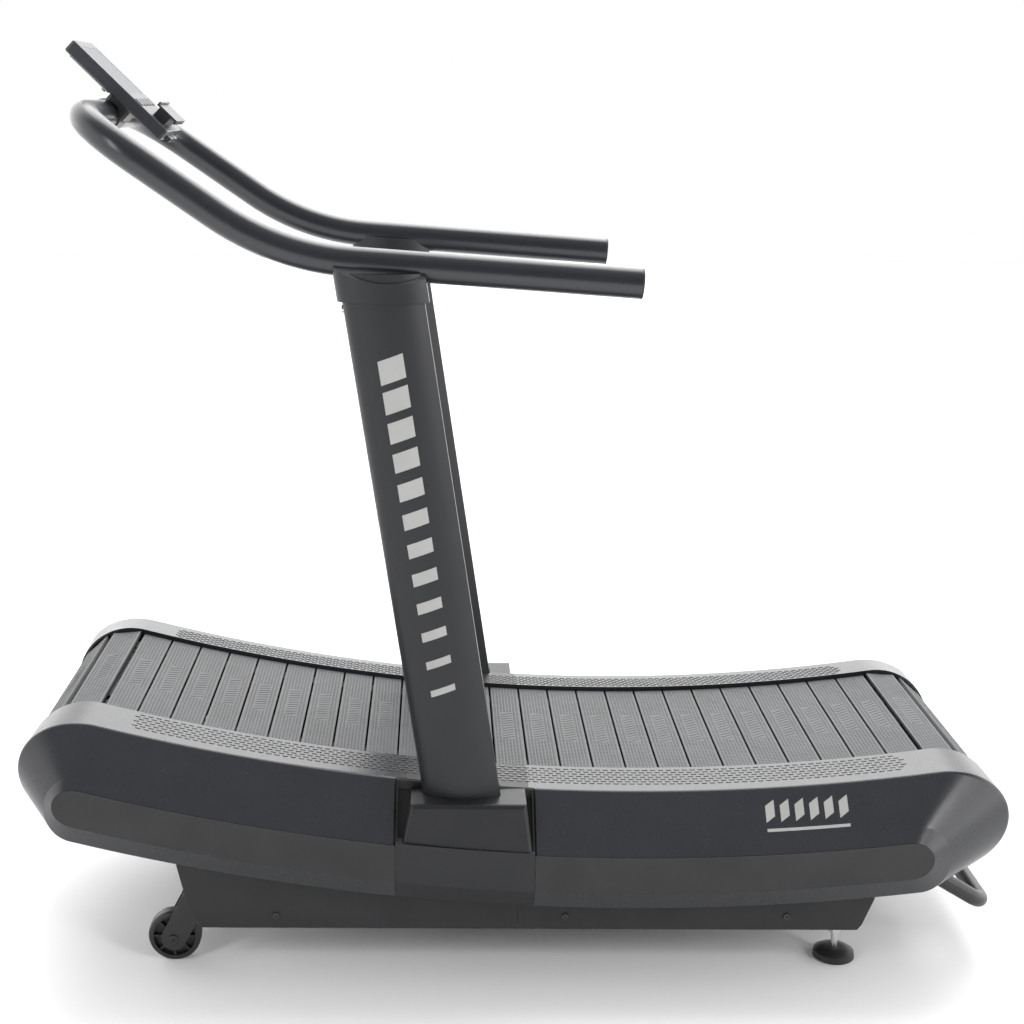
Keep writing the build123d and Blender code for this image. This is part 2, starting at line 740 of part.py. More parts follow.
def slat_places():
    """Position and tilt of every slat, evenly spaced along the drive belt."""
    parts = loop_parts(pitch_depth)
    total = sum(p[2] * abs(p[4]) for p in parts)
    count = round(total / slat_pitch_wanted)
    rows = []
    for i in range(count):
        s = (i + 0.5) * total / count
        for cx, cz, r, start, turn, sign in parts:
            if s <= r * abs(turn):
                a = start + turn * s / (r * abs(turn))
                face_r = r + sign * pitch_depth
                tilt = degrees(atan2(sign * sin(a), sign * cos(a))) - 90
                rows.append((cx + face_r * cos(a), cz + face_r * sin(a), tilt))
                break
            s = s - r * abs(turn)
    return rows


def on_belt(row):
    """Location of a slat: local Z points out of the running face."""
    return Location((row[0], 0, row[1]), (0, -row[2], 0))


def make_slats():
    """Aluminium carrier bars with two stiffening ribs each."""
    wide = slat_pitch_wanted - slat_gap
    bar = box(-wide / 2, wide / 2, -belt_width / 2 + 4, belt_width / 2 - 4, -slat_low, -tread_thick)
    reach = drive_belt_y - drive_belt_w / 2 - 8
    for x in (-wide / 4, wide / 4):
        bar = bar + box(x - 2, x + 2, -reach, reach, -slat_low - 10, -slat_low)
    return Compound(children=[on_belt(row) * bar for row in slat_places()])


def make_treads():
    """Rubber treads, one on each carrier bar."""
    wide = slat_pitch_wanted - slat_gap
    tread = box(-wide / 2, wide / 2, -belt_width / 2, belt_width / 2, -tread_thick, 0)
    tread = chamfer(tread.edges().filter_by(Axis.Y).group_by(Axis.Z)[-1], 1.0)
    return Compound(children=[on_belt(row) * tread for row in slat_places()])


def make_drive_belt(side):
    """Endless belt that carries one end of the slats."""
    y0 = side * (drive_belt_y - drive_belt_w / 2)
    y1 = side * (drive_belt_y + drive_belt_w / 2)
    outer = slab_y(loop_face(slat_low + 0.2), y0, y1)
    inner = slab_y(loop_face(belt_low), y0, y1)
    return outer - inner


def console_plane():
    """Plane on the front face of the console: local X runs down the slope, local Z faces the runner."""
    s = radians(con_slope)
    return Plane(origin=(con_x, 0, con_z), x_dir=(cos(s), 0, -sin(s)), z_dir=(sin(s), 0, cos(s)))


def button_rows():
    """Positions of the five keys."""
    return [(150.0, -58.0 + 29.0 * i) for i in range(5)]


def make_console_front():
    """Front half of the console housing with window, key openings and a lower end block."""
    half = con_wide / 2
    body = box(0, con_len, -half, half, -10, 0)
    body = fillet(body.edges().filter_by(Axis.Z), con_corner)
    body = chamfer(body.faces().sort_by(Axis.Z)[-1].edges(), 1.5)
    body = body - box(3, con_len - 3, -half + 3, half - 3, -10, -3)
    body = body - box(16, 128, -68, 68, -1.8, 1)
    body = body - box(24, 120, -60, 60, -5, 1)
    for t, y in button_rows():
        body = body - box(t - 8.3, t + 8.3, y - 11.3, y + 11.3, -5, 1)
    return console_plane().location * body


def make_console_rear():
    """Rear half of the console housing."""
    half = con_wide / 2
    body = box(0, con_len, -half, half, -con_thick, -10)
    body = fillet(body.edges().filter_by(Axis.Z), con_corner)
    body = chamfer(body.faces().sort_by(Axis.Z)[0].edges(), 2)
    body = body - box(3, con_len - 3, -half + 3, half - 3, -con_thick + 3, -10)
    body = body - box(151, 213, -60, 60, -con_thick - 1, -con_thick + 1.4)
    body = body - box(159, 205, -52, 52, -con_thick - 1, -con_thick + 4)
    for y in (-20, 20):
        end = box(con_len, con_len + 9, y - 16, y + 16, -con_thick + 3, -11)
        for dy in (-9, 0, 9):
            end = end - box(con_len + 3, con_len + 10, y + dy - 2.5, y + dy + 2.5, -con_thick, -13)
        body = body + end
    return console_plane().location * body


def make_lens():
    """Clear window over the display."""
    pane = box(16.2, 127.8, -67.8, 67.8, -1.8, -0.2)
    pane = fillet(pane.edges().filter_by(Axis.Z), 2)
    return console_plane().location * pane


def make_button(t, y):
    """One key with a retaining flange behind the housing face."""
    cap = box(t - 8, t + 8, y - 11, y + 11, -3, 1.5)
    cap = fillet(cap.edges().filter_by(Axis.Z), 3)
    flange = box(t - 9.5, t + 9.5, y - 12.5, y + 12.5, -4.2, -3)
    return console_plane().location * (cap + flange)


def make_battery_door():
    """Battery door in the lower back of the console."""
    plate = box(151.3, 212.7, -59.7, 59.7, -con_thick - 2.5, -con_thick + 1.3)
    plate = fillet(plate.edges().filter_by(Axis.Z), 4)
    for i in range(4):
        plate = plate + box(157 + 4 * i, 159 + 4 * i, -15, 15, -con_thick - 3.3, -con_thick - 2.5)
    return console_plane().location * plate


def make_bracket():
    """Saddle bracket between the cross bar and the console, with the back plate and its screws."""
    plane = console_plane()
    bar = rod_y(cross_x, cross_z, bar_r, -200, 200)
    block = box(100, 148, -40, 40, -con_thick - 26, -con_thick)
    block = fillet(block.edges().filter_by(Axis.Z), 6)
    strap = rod_y(cross_x, cross_z, bar_r + 2.5, -34, 34)
    body = plane.location * block + strap
    low = -con_thick - back_plate_t - 2.0
    plate = box(10, 100, -64, 64, low, low + back_plate_t)
    plate = fillet(plate.edges().filter_by(Axis.Z), 5)
    pads = [box(t - 6, t + 6, -40, 40, low + back_plate_t, -con_thick) for t in (24, 88)]
    heads = [Location((90, y, low - 2)) * Cylinder(4, 4) for y in (-54, 54)]
    tongue = box(96, 112, -30, 30, low, low + back_plate_t)
    for piece in (*pads, *heads, tongue):
        plate = plate + piece
    return body - bar + plane.location * plate


def make_tablet_ledge():
    """Small shelf with a raised lip near the lower end of the face."""
    neck = box(180, 206, -46, 46, 0, 17)
    shelf = box(174, 218, -50, 50, 17, 20.5)
    lip = box(174, 177, -50, 50, 20.5, 25)
    tail = box(215, 218, -50, 50, 12, 17)
    return console_plane().location * (neck + shelf + lip + tail)


def make_wheel(side):
    """Transport wheel with a round tread, a hub and eight ribs."""
    y0 = side * (wheel_y - wheel_w / 2)
    y1 = side * (wheel_y + wheel_w / 2)
    z = wheel_r
    disc = rod_y(wheel_x, z, wheel_r, y0, y1)
    disc = fillet(disc.edges().filter_by(GeomType.CIRCLE), 6)
    for a, b in ((y0, y0 + side * 9), (y1 - side * 9, y1)):
        disc = disc - (rod_y(wheel_x, z, wheel_r - 10, a, b) - rod_y(wheel_x, z, 15, a, b))
    for i in range(8):
        spoke = Location((25, 0, 0)) * Box(30, wheel_w - 4, 4)
        spoke = Location((wheel_x, (y0 + y1) / 2, z), (0, 45 * i, 0)) * spoke
        disc = disc + spoke
    return disc - rod_y(wheel_x, z, 5 + running_gap, y0 - side, y1 + side)


def make_fork(side):
    """Wheel fork: two teardrop cheeks on a back plate."""
    reach = wheel_w / 2 + cheek_gap + cheek_t
    top = beam_low + beam_h - 3
    y0 = side * (wheel_y - reach - 2)
    y1 = side * (wheel_y + reach + 2)
    fork = box(beam_front - 5, beam_front, y0, y1, beam_low + 2, top)
    low = Location((wheel_x, wheel_r)) * Circle(cheek_r)
    root = Location((beam_front - cheek_r, beam_low + 34)) * Circle(cheek_r)
    cheek = Plane.XZ * make_hull((low + root).edges())
    tail = flat([Polyline((-580, top), (beam_front, top), (beam_front, 92), (-580, 100), (-580, top))])
    for y in (wheel_y - reach, wheel_y + reach - cheek_t):
        fork = fork + slab_y(cheek + tail, side * y, side * (y + cheek_t))
    return fork - rod_y(wheel_x, wheel_r, 5 + 0.02, side * 220, side * 330)


def make_wheel_axle(side):
    """Axle screw of a transport wheel with its head outside and a nut inside."""
    reach = wheel_w / 2 + cheek_gap + cheek_t
    out_y = wheel_y + reach
    in_y = wheel_y - reach
    pin = rod_y(wheel_x, wheel_r, 5, side * (in_y - 6), side * out_y)
    head = rod_y(wheel_x, wheel_r, 8, side * out_y, side * (out_y + 4))
    head = fillet(head.edges().filter_by(GeomType.CIRCLE).sort_by(Axis.Y)[0 if side < 0 else -1], 2)
    for turn in (0, 90):
        slot = Location((wheel_x, side * (out_y + 4), wheel_r), (0, turn, 0)) * Box(8, 3, 1.6)
        head = head - slot
    place = Location((wheel_x, side * (in_y - 4), wheel_r), (90, 0, 0))
    nut = place * extrude(RegularPolygon(9, 6), amount=4, both=True)
    return pin + head + nut


def make_foot(side):
    """Levelling foot: domed pad, stem and lock nut."""
    ring = [Line((0, 0), (35, 0)), Line((35, 0), (38, 2)), Line((38, 2), (37, 13))]
    dome = [ThreePointArc((37, 13), (25, 19.5), (11, 22)), Line((11, 22), (0, 22)), Line((0, 22), (0, 0))]
    pad = revolve(Plane.XZ * make_face(ring + dome), Axis.Z)
    stem = rod_z(0, 0, 6, 20, 108)
    nut = Location((0, 0, 50)) * extrude(RegularPolygon(12, 6), amount=8)
    foot = pad + stem + nut
    return Location((foot_x, side * foot_y, 0)) * foot


def make_lift_handle():
    """U-shaped tube handle under the rear end, with a flat tab at each leg."""
    slope = radians(31)
    run = 106.0
    x0 = lift_x - run * cos(slope)
    z0 = lift_z + run * sin(slope)
    pts = [(x0, -lift_y, z0), (lift_x, -lift_y, lift_z), (lift_x, lift_y, lift_z), (x0, lift_y, z0)]
    path = bent_path(pts, [30, 30])
    start = Plane(origin=path @ 0, z_dir=path % 0)
    bar = sweep(start * Circle(lift_r), path=path)
    for side in (-1, 1):
        tab = box(742, 790, side * beam_in_y, side * (beam_in_y + 5), 163, 197)
        neck = box(764, 786, side * (beam_in_y + 4), side * lift_y, z0 - 8, z0 + 8)
        bar = bar + tab + neck
    return bar


def save(node, shape):
    """Write one node as a STEP file."""
    export_step(shape, "parts/" + node + ".step")


os.makedirs("parts", exist_ok=True)

cavities = {}
for side, hand in ((-1, "left"), (1, "right")):
    skin = shell_skin(side)
    cavities[side] = pod_solid(side, shell_wall)
    save("front_shell_" + hand, end_shell(side, skin, True))
    save("rear_shell_" + hand, end_shell(side, skin, False))
    save("centre_cover_" + hand, make_centre_cover(side, skin))
    save("inlays_" + hand, Compound(children=[make_inlay(side, True), make_inlay(side, False)]))
    save("grips_" + hand, Compound(children=[make_grip(side, True), make_grip(side, False)]))
    save("skirt_" + hand, Compound(children=[make_skirt(side, True), make_skirt(side, False)]))
    save("upright_" + hand, make_upright(side))
    save("collar_" + hand, make_collar(side))
    save("wheel_" + hand, make_wheel(side))
    save("foot_" + hand, make_foot(side))

for name, x, z in drum_axes():
    save(name + "_axle", make_axle(x, z))
    save(name + "_pulleys", Compound(children=[make_pulley(x, z, side) for side in (-1, 1)]))

for i, (x, z) in enumerate(guide_axes()):
    save("guide_" + str(i + 1), make_guide(x, z))

bearings = [make_bearing(x, z, side) for name, x, z in drum_axes() for side in (-1, 1)]
save("drum_bearings", Compound(children=bearings))
save("drive_belts", Compound(children=[make_drive_belt(side) for side in (-1, 1)]))
save("skirt_screws", Compound(children=[make_skirt_screws(side) for side in (-1, 1)]))
save("upright_bolts", Compound(children=[make_foot_bolt(side) for side in (-1, 1)]))
save("bar_caps", Compound(children=[make_end_cap(side) for side in (-1, 1)]))
save("wheel_forks", Compound(children=[make_fork(side) for side in (-1, 1)]))
save("wheel_axles", Compound(children=[make_wheel_axle(side) for side in (-1, 1)]))
save("deck_frame", make_deck_frame(cavities))
save("base_frame", make_base_frame())
save("slats", make_slats())
save("treads", make_treads())
save("handlebar", make_handlebar())
save("console_front", make_console_front())
save("console_rear", make_console_rear())
save("console_lens", make_lens())
save("battery_door", make_battery_door())
save("console_bracket", make_bracket())
save("tablet_ledge", make_tablet_ledge())
save("lift_handle", make_lift_handle())
for i, (t, y) in enumerate(button_rows()):
    save("key_" + str(i + 1), make_button(t, y))
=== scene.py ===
import json
from math import atan2, cos, hypot, pi, radians, sin

import bpy
from mathutils import Matrix, Vector


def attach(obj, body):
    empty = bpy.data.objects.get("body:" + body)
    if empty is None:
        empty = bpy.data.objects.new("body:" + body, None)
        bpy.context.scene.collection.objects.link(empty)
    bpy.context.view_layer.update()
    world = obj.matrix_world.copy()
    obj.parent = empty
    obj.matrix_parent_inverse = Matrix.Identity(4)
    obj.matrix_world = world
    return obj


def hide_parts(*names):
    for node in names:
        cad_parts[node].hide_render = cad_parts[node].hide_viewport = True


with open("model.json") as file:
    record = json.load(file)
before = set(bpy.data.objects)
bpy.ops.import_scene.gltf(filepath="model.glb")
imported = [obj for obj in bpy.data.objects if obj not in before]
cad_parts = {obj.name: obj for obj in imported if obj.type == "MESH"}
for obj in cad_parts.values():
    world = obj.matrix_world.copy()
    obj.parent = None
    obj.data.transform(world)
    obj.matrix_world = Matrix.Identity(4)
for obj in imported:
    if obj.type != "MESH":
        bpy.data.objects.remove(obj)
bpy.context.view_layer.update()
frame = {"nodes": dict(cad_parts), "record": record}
nodes = frame["nodes"]
slot_of = {s["node"]: s["material_slot"] for s in frame["record"]["subparts"]}

# ---------------------------------------------------------------- driving sizes, in metres

DECK_R = 3.850
DECK_LOW = Vector((0.204, 0, 0.345))
ARC = Vector((DECK_LOW.x, 0, DECK_LOW.z + DECK_R))
DRUM_X = 0.775
DRUM_R = 0.105
RETURN_R = 4.300
PITCH_WANTED = 0.0603
PITCH_DEPTH = 0.014
SLAT_GAP = 0.0036
BELT_WIDTH = 0.432
TREAD_THICK = 0.006

SHELL_IN_Y = 0.219
CREASE_Y = 0.311
SHELL_LIP = 0.007
INLAY_Y = 0.400
INLAY_TOP = 0.087
GRIP_WIDTH = 0.062
GRIP_FRONT = -0.690
GRIP_REAR = 0.705

UPRIGHT_Y = 0.322
UPRIGHT_X = -0.0757
UPRIGHT_LOW = 0.200
UPRIGHT_SLOPE = 0.1587
FOOT_PAD_TOP = 0.0225

CONSOLE_SLOPE = radians(44)
CONSOLE_TOP = Vector((-0.7815, 0, 1.636))
PLATE_END = 0.112
PLATE_FLAT_END = 0.0995
PLATE_BACK = 0.026

TREAD_TOP_DROP = 0.0006

WALL_LIGHT = 2.5
ROOM_LIGHT = 0.15
CEILING_LIGHT = 0.55
RIGHT_LIGHT = 3.4
LEFT_LIGHT = 1.8
SUN_LIGHT = 1.8

CAMERA_SPOT = (-0.1459, -3.0935, 1.5336)
CAMERA_TURN = radians(0.7421)
CAMERA_PITCH = radians(13.6569)
CAMERA_ROLL = radians(0.5756)
CAMERA_LENS = 58.85
CAMERA_SHIFT = (0.0527, -0.001)

# ---------------------------------------------------------------- mesh helpers

def new_mesh(name, verts, faces, smooth=False):
    """Object made from a list of points and faces."""
    data = bpy.data.meshes.new(name)
    data.from_pydata([tuple(v) for v in verts], [], faces)
    data.validate()
    data.update()
    obj = bpy.data.objects.new(name, data)
    bpy.context.scene.collection.objects.link(obj)
    if smooth:
        data.shade_smooth()
    return obj


def add_frustum(verts, faces, place, size, top, high):
    """Low stud: a block whose top is smaller than its foot."""
    first = len(verts)
    for k, z in ((1.0, 0.0), (top, high)):
        for sx, sy in ((-1, -1), (1, -1), (1, 1), (-1, 1)):
            verts.append(place(Vector((sx * size[0] / 2 * k, sy * size[1] / 2 * k, z))))
    for i in range(4):
        j = (i + 1) % 4
        faces.append((first + i, first + j, first + 4 + j, first + 4 + i))
    faces.append((first + 4, first + 5, first + 6, first + 7))


# ---------------------------------------------------------------- materials

def material(name):
    """Empty node material with its shader."""
    mat = bpy.data.materials.new(name)
    mat.use_nodes = True
    tree = mat.node_tree
    shader = tree.nodes["Principled BSDF"]
    return mat, tree, shader


def link(tree, a, out, b, into):
    """Join two sockets."""
    tree.links.new(a.outputs[out], b.inputs[into])


def noise(tree, coords, scale, detail=4.0, rough=0.55):
    """Noise texture in object coordinates."""
    node = tree.nodes.new("ShaderNodeTexNoise")
    node.inputs["Scale"].default_value = scale
    node.inputs["Detail"].default_value = detail
    node.inputs["Roughness"].default_value = rough
    link(tree, coords, "Object", node, "Vector")
    return node


def ramp(tree, source, out, start, end, low, high):
    """Clamped linear map of one value."""
    node = tree.nodes.new("ShaderNodeMapRange")
    node.inputs["From Min"].default_value = start
    node.inputs["From Max"].default_value = end
    node.inputs["To Min"].default_value = low
    node.inputs["To Max"].default_value = high
    link(tree, source, out, node, "Value")
    return node


def spread(tree, source, out, low, high):
    """Map a texture's middle range to low..high."""
    return ramp(tree, source, out, 0.3, 0.7, low, high)


def two_tone(tree, factor, dark, light):
    """Mix of two colours by a factor node."""
    node = tree.nodes.new("ShaderNodeMix")
    node.data_type = "RGBA"
    node.inputs["A"].default_value = (*dark, 1)
    node.inputs["B"].default_value = (*light, 1)
    link(tree, factor, "Result", node, "Factor")
    return node


def bump(tree, height, out, strength, depth):
    """Bump from a height texture, depth in metres."""
    node = tree.nodes.new("ShaderNodeBump")
    node.inputs["Strength"].default_value = strength
    node.inputs["Distance"].default_value = depth
    link(tree, height, out, node, "Height")
    return node


def grained(name, colour, rough, grain, slope, shift=0.12, spec=0.5):
    """Moulded plastic, rubber or powder coat: cloudy tone, uneven gloss and a fine grain."""
    mat, tree, shader = material(name)
    coords = tree.nodes.new("ShaderNodeTexCoord")
    cloud = noise(tree, coords, 14.0, 5.0)
    tone = spread(tree, cloud, "Fac", 0.0, 1.0)
    dark = [c * (1 - shift) for c in colour]
    light = [min(1.0, c * (1 + shift)) for c in colour]
    mix = two_tone(tree, tone, dark, light)
    link(tree, mix, "Result", shader, "Base Color")
    smear = noise(tree, coords, 55.0, 6.0, 0.65)
    gloss = spread(tree, smear, "Fac", rough - 0.02, rough + 0.025)
    link(tree, gloss, "Result", shader, "Roughness")
    fine = noise(tree, coords, grain, 2.0, 0.5)
    relief = bump(tree, fine, "Fac", 0.35, slope / grain)
    link(tree, relief, "Normal", shader, "Normal")
    shader.inputs["Specular IOR Level"].default_value = spec
    return mat


def brushed(name, colour, rough, stretch):
    """Metal with fine drawn lines along one axis."""
    mat, tree, shader = material(name)
    coords = tree.nodes.new("ShaderNodeTexCoord")
    squeeze = tree.nodes.new("ShaderNodeMapping")
    squeeze.inputs["Scale"].default_value = stretch
    link(tree, coords, "Object", squeeze, "Vector")
    lines = tree.nodes.new("ShaderNodeTexNoise")
    lines.inputs["Scale"].default_value = 260.0
    lines.inputs["Detail"].default_value = 4.0
    link(tree, squeeze, "Vector", lines, "Vector")
    tone = spread(tree, lines, "Fac", 0.0, 1.0)
    mix = two_tone(tree, tone, [c * 0.82 for c in colour], colour)
    link(tree, mix, "Result", shader, "Base Color")
    gloss = spread(tree, lines, "Fac", rough - 0.08, rough + 0.1)
    link(tree, gloss, "Result", shader, "Roughness")
    relief = bump(tree, lines, "Fac", 0.2, 0.00002)
    link(tree, relief, "Normal", shader, "Normal")
    shader.inputs["Metallic"].default_value = 1.0
    return mat


MATERIALS = {
    "shell": grained("shell_satin", (0.017, 0.018, 0.0215), 0.26, 3000.0, 0.012, 0.06),
    "cover": grained("cover_satin", (0.015, 0.0155, 0.017), 0.38, 3000.0, 0.02, 0.06, spec=0.28),
    "inlay": grained("inlay_matt", (0.026, 0.026, 0.0275), 0.60, 2600.0, 0.14, spec=0.3),
    "grip": grained("grip_studs", (0.030, 0.031, 0.034), 0.32, 2600.0, 0.05),
    "skirt": grained("skirt_matt", (0.024, 0.024, 0.0255), 0.58, 2600.0, 0.14, spec=0.3),
    "frame": grained("frame_powder", (0.020, 0.021, 0.024), 0.45, 3000.0, 0.14),
    "tube": grained("tube_powder", (0.0165, 0.0178, 0.0215), 0.29, 3200.0, 0.03, 0.06),
    # upright: the tube powder coat again with a lower gloss and a darker colour, the darker colour being
    # painted shade on the vertical uprights
    "upright": grained("upright_powder_shaded", (0.015, 0.0158, 0.018), 0.40, 3200.0, 0.03, 0.06, spec=0.30),
    "collar": grained("collar_cast", (0.013, 0.014, 0.0165), 0.36, 2600.0, 0.04, spec=0.35),
    "zinc": brushed("zinc_plate", (0.74, 0.74, 0.72), 0.32, (1, 1, 0.1)),
    "black_steel": grained("black_steel", (0.018, 0.0185, 0.020), 0.40, 3000.0, 0.14),
    "slat": brushed("slat_aluminium", (0.10, 0.10, 0.105), 0.42, (1, 0.05, 1)),
    "tread": grained("tread_rubber", (0.038, 0.040, 0.043), 0.50, 2600.0, 0.20, 0.20),
    "belt": grained("drive_belt_rubber", (0.02, 0.02, 0.02), 0.7, 1500.0, 0.20),
    "pulley": brushed("pulley_aluminium", (0.66, 0.66, 0.67), 0.35, (0.1, 1, 0.1)),
    "bearing": grained("bearing_cast", (0.06, 0.06, 0.065), 0.5, 1800.0, 0.30),
    "roller": brushed("roller_steel", (0.62, 0.62, 0.62), 0.3, (1, 0.1, 1)),
    "wheel": grained("wheel_plastic", (0.014, 0.014, 0.0155), 0.45, 2200.0, 0.14),
    "foot": grained("foot_rubber", (0.012, 0.012, 0.013), 0.50, 2000.0, 0.20),
    "cap": grained("cap_plastic", (0.018, 0.018, 0.020), 0.5, 2200.0, 0.14),
    "housing": grained("console_plastic", (0.020, 0.021, 0.026), 0.36, 2600.0, 0.06),
    "lens": grained("window_plastic", (0.07, 0.074, 0.08), 0.42, 2600.0, 0.04, 0.04, spec=0.3),
    "back": grained("back_plastic", (0.30, 0.31, 0.32), 0.45, 2200.0, 0.14, 0.06),
    "key": grained("key_rubber", (0.12, 0.123, 0.13), 0.55, 2600.0, 0.14),
}
PAINT = grained("mark_paint", (0.32, 0.32, 0.314), 0.5, 2600.0, 0.05, 0.05)


def dress_cad_nodes():
    """Material of each slot; the uprights get a darker, less glossy copy of the tube powder coat, its
    darker colour painted shade; the foot stems and console back plate get their own.
    """
    for name, obj in nodes.items():
        obj.data.materials.clear()
        obj.data.materials.append(MATERIALS[slot_of[name]])
    # the uprights take the darker copy of the tube powder coat: painted shade
    for name in ("upright_left", "upright_right"):
        nodes[name].data.materials[0] = MATERIALS["upright"]
    for name in ("foot_left", "foot_right"):
        obj = nodes[name]
        obj.data.materials.append(MATERIALS["zinc"])
        for face in obj.data.polygons:
            if (obj.matrix_world @ face.center).z > FOOT_PAD_TOP:
                face.material_index = 1
    obj = nodes["console_bracket"]
    obj.data.materials.append(MATERIALS["back"])
    for face in obj.data.polygons:
        off = obj.matrix_world @ face.center - CONSOLE_TOP
        down = cos(CONSOLE_SLOPE) * off.x - sin(CONSOLE_SLOPE) * off.z
        out = sin(CONSOLE_SLOPE) * off.x + cos(CONSOLE_SLOPE) * off.z
        if down < PLATE_FLAT_END or (down < PLATE_END and abs(out + PLATE_BACK) < 0.0015):
            face.material_index = 1


# ---------------------------------------------------------------- running belt

def belt_arcs():
    """Four arcs of the belt loop at the pitch line: centre x and z, radius, start, turn, side."""
    reach = DECK_R + DRUM_R
    front_z = ARC.z - (reach ** 2 - (DRUM_X + ARC.x) ** 2) ** 0.5
    rear_z = ARC.z - (reach ** 2 - (DRUM_X - ARC.x) ** 2) ** 0.5
    span = hypot(2 * DRUM_X, rear_z - front_z)
    rise = ((RETURN_R - DRUM_R) ** 2 - (span / 2) ** 2) ** 0.5
    hang_x = -(rear_z - front_z) / span * rise
    hang_z = (front_z + rear_z) / 2 + 2 * DRUM_X / span * rise
    a_front = atan2(front_z - ARC.z, -DRUM_X - ARC.x)
    a_rear = atan2(rear_z - ARC.z, DRUM_X - ARC.x)
    b_rear = atan2(rear_z - hang_z, DRUM_X - hang_x)
    b_front = atan2(front_z - hang_z, -DRUM_X - hang_x)
    return [
        (ARC.x, ARC.z, DECK_R + PITCH_DEPTH, a_front, a_rear - a_front, -1),
        (DRUM_X, rear_z, DRUM_R - PITCH_DEPTH, a_rear + pi, b_rear - a_rear - pi, 1),
        (hang_x, hang_z, RETURN_R - PITCH_DEPTH, b_rear, b_front - b_rear, 1),
        (-DRUM_X, front_z, DRUM_R - PITCH_DEPTH, b_front, a_front - pi - b_front, 1),
    ]


def slat_frames():
    """One matrix for each slat; local Z points out of the running face."""
    arcs = belt_arcs()
    total = sum(arc[2] * abs(arc[4]) for arc in arcs)
    count = round(total / PITCH_WANTED)
    frames = []
    for i in range(count):
        s = (i + 0.5) * total / count
        for x, z, r, start, turn, side in arcs:
            if s <= r * abs(turn):
                a = start + turn * s / (r * abs(turn))
                out = Vector((side * cos(a), 0, side * sin(a)))
                face = Vector((x, 0, z)) + Vector((cos(a), 0, sin(a))) * (r + side * PITCH_DEPTH)
                across = Vector((0, 1, 0))
                along = across.cross(out)
                rows = Matrix((along, across, out)).transposed().to_4x4()
                frames.append(Matrix.Translation(face) @ rows)
                break
            s -= r * abs(turn)
    return frames


def make_treads():
    """Rubber treads with rows of small studs and a slanted-rib panel in the middle."""
    wide = PITCH_WANTED - SLAT_GAP
    half_x = wide / 2
    half_y = BELT_WIDTH / 2
    edge = 0.0012
    rim = (0.004, 0.010)
    stud_pitch = (0.0062, 0.0072)
    stud = (0.0042, 0.0046)
    stud_top = 0.55
    panel_y = 0.075
    panel_rim_x = 0.013
    rib_count = 11
    rib_pitch = 0.0125
    rib_slant = radians(28)
    rib = (0.026, 0.0055)
    rib_top = 0.82
    verts = []
    faces = []
    for base in slat_frames():
        first = len(verts)
        for x, y, z in (
            (half_x, half_y, -TREAD_THICK),
            (half_x, half_y, -edge),
            (half_x - edge, half_y - edge, -TREAD_TOP_DROP),
        ):
            for sx, sy in ((-1, -1), (1, -1), (1, 1), (-1, 1)):
                verts.append(base @ Vector((sx * x, sy * y, z)))
        for ring in (0, 4):
            for i in range(4):
                j = (i + 1) % 4
                a = first + ring
                faces.append((a + i, a + j, a + 4 + j, a + 4 + i))
        faces.append((first + 8, first + 9, first + 10, first + 11))
        faces.append((first + 3, first + 2, first + 1, first))
        rows = int((wide - rim[0]) / stud_pitch[0])
        cols = int((BELT_WIDTH - rim[1]) / stud_pitch[1])
        for i in range(rows):
            x = (i - (rows - 1) / 2) * stud_pitch[0]
            for j in range(cols):
                y = (j - (cols - 1) / 2) * stud_pitch[1]
                if abs(y) < panel_y and abs(x) < half_x - panel_rim_x:
                    continue
                spot = base @ Matrix.Translation((x, y, -TREAD_TOP_DROP))
                add_frustum(verts, faces, lambda v, m=spot: m @ v, stud, stud_top, TREAD_TOP_DROP)
        for j in range(rib_count):
            y = (j - rib_count // 2) * rib_pitch
            spot = base @ Matrix.Translation((0, y, -TREAD_TOP_DROP)) @ Matrix.Rotation(rib_slant, 4, "Z")
            add_frustum(verts, faces, lambda v, m=spot: m @ v, rib, rib_top, TREAD_TOP_DROP)
    treads = new_mesh("tread_surface", verts, faces)
    treads.data.materials.append(MATERIALS["tread"])
    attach(treads, "machine")
    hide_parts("treads")


# ---------------------------------------------------------------- rail studs

def rail_spot(x, y):
    """Matrix of a point on the foot rail, its Z standing out of the surface."""
    lift = SHELL_LIP * (CREASE_Y - abs(y)) / (CREASE_Y - SHELL_IN_Y)
    r = DECK_R - lift
    run = x - ARC.x
    point = Vector((x, y, ARC.z - (r * r - run * run) ** 0.5))
    out = Vector((-run, 0, (r * r - run * run) ** 0.5)) / r
    tilt = Vector((0, SHELL_LIP / (CREASE_Y - SHELL_IN_Y) * (1 if y > 0 else -1), 0))
    out = (out + tilt).normalized()
    along = Vector((0, 1, 0)).cross(out).normalized()
    rows = Matrix((along, out.cross(along), out)).transposed().to_4x4()
    return Matrix.Translation(point) @ rows


def add_stud(verts, faces, spot, long, wide, high):
    """Raised dash with round ends and a softened top edge."""
    first = len(verts)
    steps = 8
    levels = ((1.0, -0.0002), (0.97, high * 0.6), (0.80, high))
    for k, z in levels:
        for i in range(steps):
            a = 2 * pi * (i + 0.5) / steps
            x = cos(a) * wide / 2 * k + (1 if cos(a) > 0 else -1) * (long - wide) / 2
            verts.append(spot @ Vector((x, sin(a) * wide / 2 * k, z)))
    for ring in range(len(levels) - 1):
        for i in range(steps):
            j = (i + 1) % steps
            a = first + ring * steps
            faces.append((a + i, a + j, a + steps + j, a + steps + i))
    faces.append(tuple(first + (len(levels) - 1) * steps + i for i in range(steps)))


